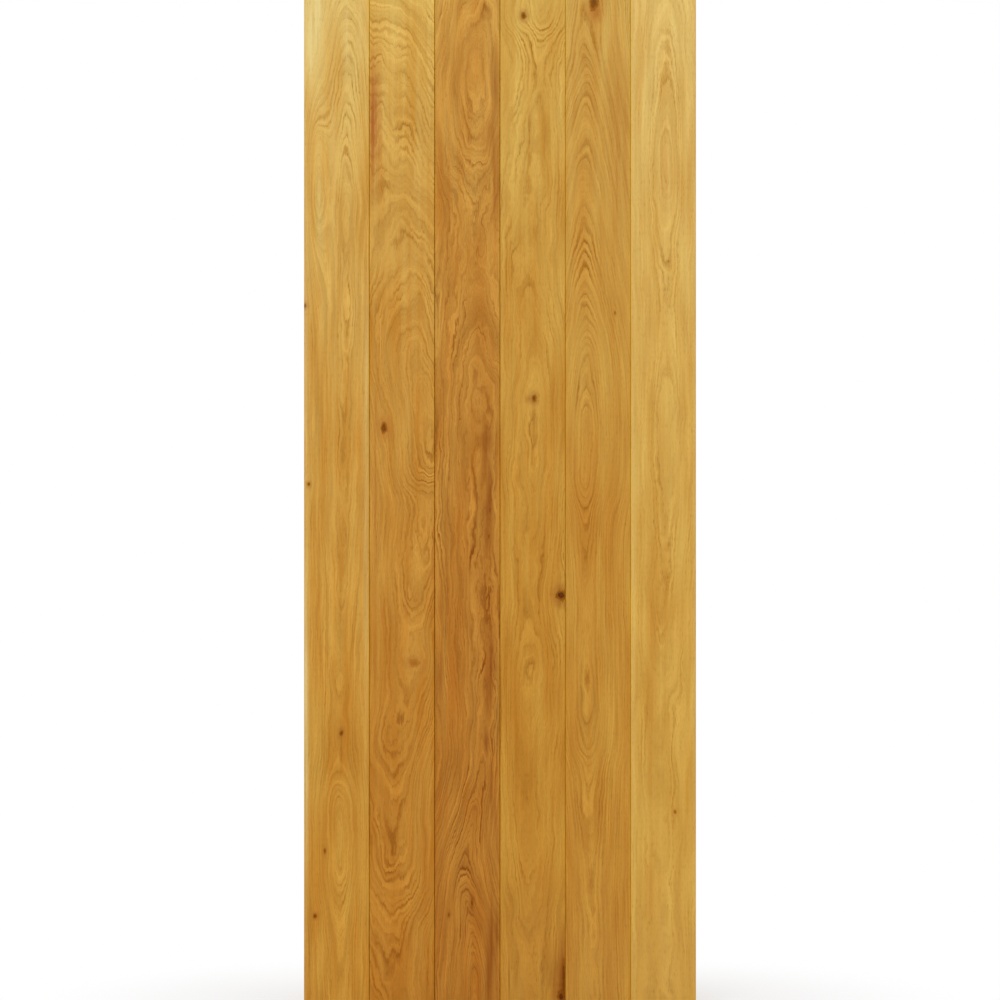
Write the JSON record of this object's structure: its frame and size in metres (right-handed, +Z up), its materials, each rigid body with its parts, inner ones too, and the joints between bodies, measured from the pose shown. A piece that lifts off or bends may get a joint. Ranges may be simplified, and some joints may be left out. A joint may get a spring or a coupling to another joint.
{
  "type": "ledged and braced door leaf",
  "caption": "Boarded oak door leaf: flush tongued and grooved boards on the front, held by level ledges and diagonal braces on the back, to hang by one edge in a door frame.",
  "frame": {"origin": "foot of the hanging edge, midway through the thickness of the boards", "axes": "+X across the leaf from the hanging edge to the closing edge, +Y from the boarded front to the ledged back, +Z up"},
  "size_m": [0.762, 0.04, 1.981],
  "materials": {
    "oak_board": "clear satin oil",
    "oak_ledge": "clear satin oil",
    "oak_brace": "clear satin oil"
  },
  "bodies": {
    "root": {"board_1": "oak_board", "board_2": "oak_board", "board_3": "oak_board", "board_4": "oak_board", "board_5": "oak_board", "board_6": "oak_board", "bottom_ledge": "oak_ledge", "middle_ledge": "oak_ledge", "top_ledge": "oak_ledge", "lower_brace": "oak_brace", "upper_brace": "oak_brace"}
  },
  "joints": []
}
